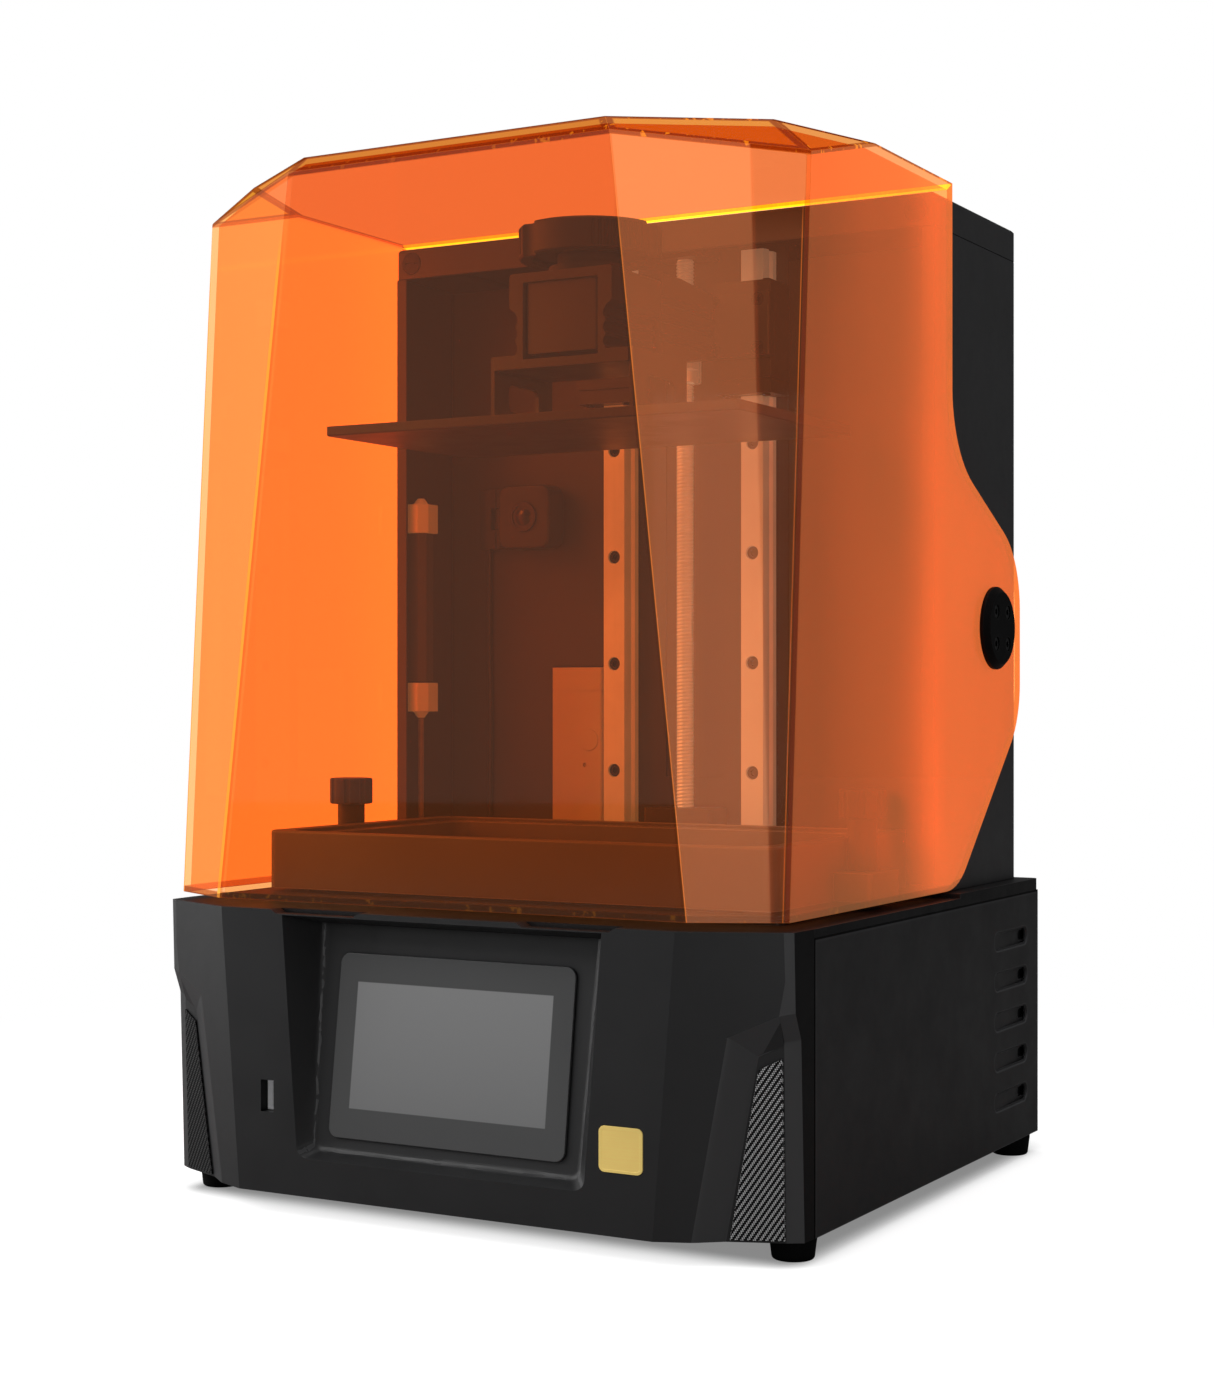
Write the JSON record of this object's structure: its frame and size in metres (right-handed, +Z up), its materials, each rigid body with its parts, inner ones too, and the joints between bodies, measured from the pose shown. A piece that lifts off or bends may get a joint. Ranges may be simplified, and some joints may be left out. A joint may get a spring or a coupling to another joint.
{
  "type": "resin printer",
  "caption": "Desktop resin printer with a faceted transparent orange cover hinged at the rear, a screw-driven build plate over a resin vat, and a black base with a leaning touch screen.",
  "frame": {"origin": "on the floor, under the centre of the footprint box", "axes": "+Z up, -Y towards the user (the touch screen side), +X to the right seen from the front"},
  "size_m": [0.348, 0.3378, 0.5116],
  "materials": {
    "sheet_black": "powder-coated sheet steel, fine texture",
    "case_black": "moulded ABS, fine spark-eroded texture",
    "carbon": "twill carbon-fibre film under clear coat",
    "screen_glass": "black-bordered cover glass",
    "module_grey": "moulded or folded module housing",
    "steel": "ground bearing steel",
    "gold": "satin gold plated badge",
    "rubber": "moulded rubber",
    "circuit": "solder-masked circuit board",
    "aluminium": "extruded or spun aluminium",
    "plastic_black": "glass-filled black nylon",
    "dark_metal": "black anodised or black oxide metal",
    "cover_orange": "tinted transparent acrylic, polished",
    "film": "clear release film",
    "lamp_white": "frosted light diffuser and end caps",
    "lens": "coated lens",
    "plastic_white": "white moulded plastic"
  },
  "bodies": {
    "base": {"base_tray": "sheet_black", "front_fascia": "case_black", "side_panel_left": "sheet_black", "side_panel_right": "sheet_black", "rear_panel": "sheet_black", "deck_plate": "case_black", "carbon_inserts": "carbon", "touch_glass": "screen_glass", "touch_display": "module_grey", "usb_port": "steel", "badge_plate": "gold", "rubber_feet": "rubber", "exposure_screen": "screen_glass", "uv_housing": "module_grey", "uv_led_board": "circuit", "heat_sink": "aluminium", "engine_fan_frame": "plastic_black", "exhaust_fan_frame": "plastic_black", "power_supply": "aluminium", "mainboard": "circuit", "power_inlet": "plastic_black", "column_shell": "sheet_black", "column_rear_cover": "sheet_black", "column_cap": "case_black", "column_backbone": "dark_metal", "linear_rails": "steel", "fixed_screws": "dark_metal", "z_motor": "dark_metal", "screw_bearings": "dark_metal", "hinge_dampers": "dark_metal", "light_bar": "lamp_white", "light_bar_caps": "lamp_white", "camera_bracket": "plastic_black", "purifier_case": "plastic_white"},
    "cover": {"cover_shell": "cover_orange", "hinge_disc_left": "plastic_black", "hinge_disc_right": "plastic_black", "hinge_screws": "dark_metal"},
    "carriage": {"carriage_plate": "dark_metal", "bearing_blocks": "dark_metal", "ball_nut": "steel", "carriage_arm": "dark_metal", "carriage_screws": "dark_metal"},
    "lead_screw": {"ball_screw": "steel", "screw_coupling": "aluminium"},
    "platform": {"plate_holder": "dark_metal", "plate_mount": "dark_metal", "build_plate": "dark_metal", "plate_screws": "dark_metal"},
    "clamp": {"clamp_knob": "plastic_black"},
    "vat": {"vat_frame": "dark_metal", "vat_film": "film"},
    "vat_screw_left": {"vat_knob_left": "plastic_black"},
    "vat_screw_right": {"vat_knob_right": "plastic_black"},
    "rocker": {"power_rocker": "plastic_black"},
    "purifier_switch": {"purifier_button": "plastic_white"},
    "camera": {"camera_body": "plastic_black", "camera_lens": "lens"},
    "engine_fan": {"engine_fan_rotor": "plastic_black"},
    "exhaust_fan": {"exhaust_fan_rotor": "plastic_black"}
  },
  "joints": [
    {"name": "cover_hinge", "type": "hinge", "parent": "base", "child": "cover", "pos_m": [0.155, 0.1127, 0.2866], "axis": [-1, 0, 0], "range_deg": [0, 85]},
    {"name": "z_travel", "type": "slide", "parent": "base", "child": "carriage", "axis": [0, 0, 1], "range_m": [-0.232, 0.006]},
    {"name": "screw_spin", "type": "hinge", "parent": "base", "child": "lead_screw", "pos_m": [0, 0.082, 0.3], "axis": [0, 0, 1], "range_deg": [-1090, 41770]},
    {"name": "platform_release", "type": "slide", "parent": "carriage", "child": "platform", "axis": [0, -1, 0], "range_m": [0, 0.055]},
    {"name": "clamp_knob_turn", "type": "hinge", "parent": "carriage", "child": "clamp", "pos_m": [0, -0.024, 0.455], "axis": [0, 0, 1], "range_deg": [0, 540]},
    {"name": "vat_lift", "type": "slide", "parent": "base", "child": "vat", "axis": [0, 0, 1], "range_m": [0, 0.06]},
    {"name": "vat_screw_left_turn", "type": "hinge", "parent": "vat", "child": "vat_screw_left", "pos_m": [-0.1516, -0.023, 0.155], "axis": [0, 0, 1], "range_deg": [0, 720]},
    {"name": "vat_screw_right_turn", "type": "hinge", "parent": "vat", "child": "vat_screw_right", "pos_m": [0.1516, -0.023, 0.155], "axis": [0, 0, 1], "range_deg": [0, 720]},
    {"name": "power_rocker_tilt", "type": "hinge", "parent": "base", "child": "rocker", "pos_m": [-0.11, 0.1584, 0.076], "axis": [1, 0, 0], "range_deg": [0, 14]},
    {"name": "purifier_button_push", "type": "slide", "parent": "base", "child": "purifier_switch", "axis": [0, 1, 0], "range_m": [0, 0.0012]},
    {"name": "camera_swivel", "type": "hinge", "parent": "base", "child": "camera", "pos_m": [-0.1215, 0.084, 0.353], "axis": [0, 0, 1], "range_deg": [-60, 3]},
    {"name": "engine_fan_spin", "type": "hinge", "parent": "base", "child": "engine_fan", "pos_m": [0, -0.026, 0.026], "axis": [0, 0, 1], "continuous": true},
    {"name": "exhaust_fan_spin", "type": "hinge", "parent": "base", "child": "exhaust_fan", "pos_m": [0.118, 0.158, 0.084], "axis": [0, 1, 0], "continuous": true}
  ],
  "couplings": [
    {"joint": "screw_spin", "follows": "z_travel", "rad_per_m": -3141.6}
  ]
}
